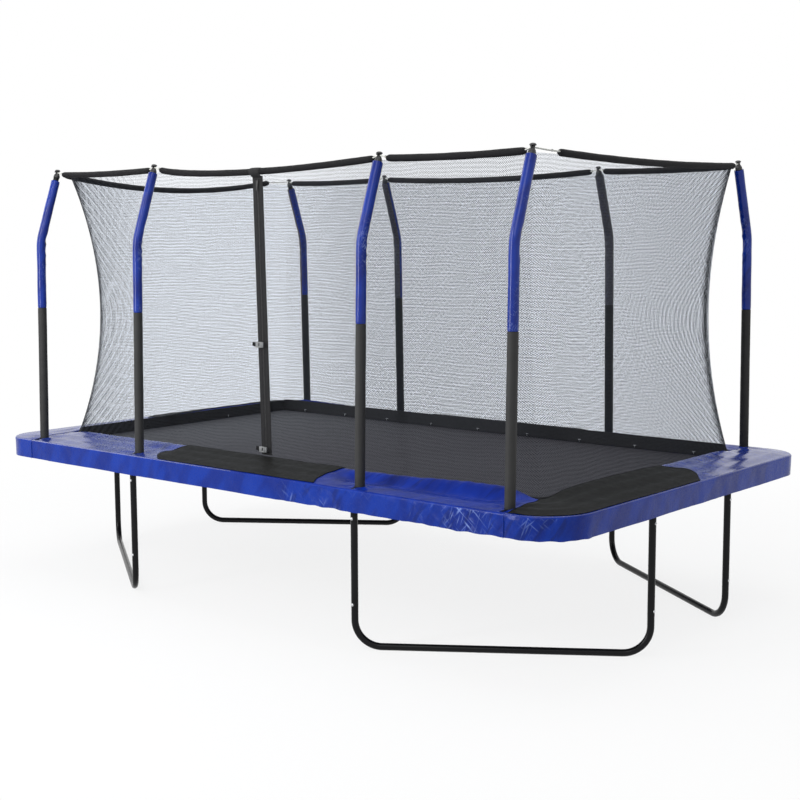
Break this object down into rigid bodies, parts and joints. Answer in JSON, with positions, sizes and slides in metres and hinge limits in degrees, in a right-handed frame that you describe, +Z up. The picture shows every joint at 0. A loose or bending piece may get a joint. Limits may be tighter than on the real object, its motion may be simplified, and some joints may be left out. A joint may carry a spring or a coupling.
{
  "type": "rectangular trampoline with safety net",
  "caption": "Rectangular garden trampoline: sprung mat, padded blue surround, U-shaped legs, and a zipped safety net hung inside bent poles.",
  "frame": {"origin": "on the ground, under the middle of the bed", "axes": "+Z up, +X along the long side, the zipped door in the front wall at -Y"},
  "size_m": [4.6, 2.748, 2.72],
  "materials": {
    "frame_tube": "gloss black powder coat",
    "zinc_steel": "zinc plated",
    "foam_cover": "matte black closed-cell foam",
    "blue_vinyl": "glossy blue PVC cloth",
    "dark_panel": "matte charcoal PVC cloth",
    "mat_cloth": "woven black polypropylene",
    "net_mesh": "fine black see-through mesh",
    "black_webbing": "black padded band and webbing",
    "black_plastic": "moulded black plastic",
    "grey_plastic": "moulded light grey plastic"
  },
  "bodies": {
    "frame": {"bracket_bolts": "zinc_steel", "buckle_sockets": "grey_plastic", "corner_rail_back_left": "frame_tube", "corner_rail_back_right": "frame_tube", "corner_rail_front_left": "frame_tube", "corner_rail_front_right": "frame_tube", "cover_sleeves_back": "blue_vinyl", "cover_sleeves_front": "blue_vinyl", "door_zip": "black_webbing", "foam_sleeves_back": "foam_cover", "foam_sleeves_front": "foam_cover", "hem_ties": "black_webbing", "leg_lower_back_left": "frame_tube", "leg_lower_back_right": "frame_tube", "leg_lower_front_left": "frame_tube", "leg_lower_front_right": "frame_tube", "leg_screws": "zinc_steel", "leg_upper_back_left": "frame_tube", "leg_upper_back_right": "frame_tube", "leg_upper_front_left": "frame_tube", "leg_upper_front_right": "frame_tube", "long_rail_back": "frame_tube", "long_rail_front": "frame_tube", "net_back": "net_mesh", "net_front": "net_mesh", "net_left": "net_mesh", "net_right": "net_mesh", "pad_back": "blue_vinyl", "pad_front": "blue_vinyl", "pad_left": "blue_vinyl", "pad_panels": "dark_panel", "pad_right": "blue_vinyl", "pad_straps": "black_webbing", "pole_brackets": "frame_tube", "pole_caps": "black_plastic", "pole_lower_back": "zinc_steel", "pole_lower_front": "zinc_steel", "pole_upper_back_1": "zinc_steel", "pole_upper_back_2": "zinc_steel", "pole_upper_back_3": "zinc_steel", "pole_upper_back_4": "zinc_steel", "pole_upper_front_1": "zinc_steel", "pole_upper_front_2": "zinc_steel", "pole_upper_front_3": "zinc_steel", "pole_upper_front_4": "zinc_steel", "short_rail_left": "frame_tube", "short_rail_right": "frame_tube", "springs_back": "zinc_steel", "springs_front": "zinc_steel", "springs_left": "zinc_steel", "springs_right": "zinc_steel", "tee_sockets": "frame_tube", "top_hem": "black_webbing"},
    "mat_bed": {"mat": "mat_cloth", "mat_rings": "zinc_steel"},
    "door_slider": {"zip_slider": "zinc_steel"},
    "lower_plug": {"buckle_plug_lower": "grey_plastic"},
    "upper_plug": {"buckle_plug_upper": "grey_plastic"}
  },
  "joints": [
    {"name": "mat_bounce", "type": "slide", "parent": "frame", "child": "mat_bed", "axis": [0, 0, 1], "range_m": [-0.25, 0], "stiffness_N_per_m": 5000, "springref_m": 0.05, "deforming": ["springs_front", "springs_back", "springs_left", "springs_right"]},
    {"name": "zip_travel", "type": "slide", "parent": "frame", "child": "door_slider", "axis": [0, -0.0245, 0.9997], "range_m": [-1.58, 0]},
    {"name": "lower_buckle_release", "type": "slide", "parent": "frame", "child": "lower_plug", "axis": [1, 0, 0], "range_m": [0, 0.035]},
    {"name": "upper_buckle_release", "type": "slide", "parent": "frame", "child": "upper_plug", "axis": [1, 0, 0], "range_m": [0, 0.035]}
  ]
}
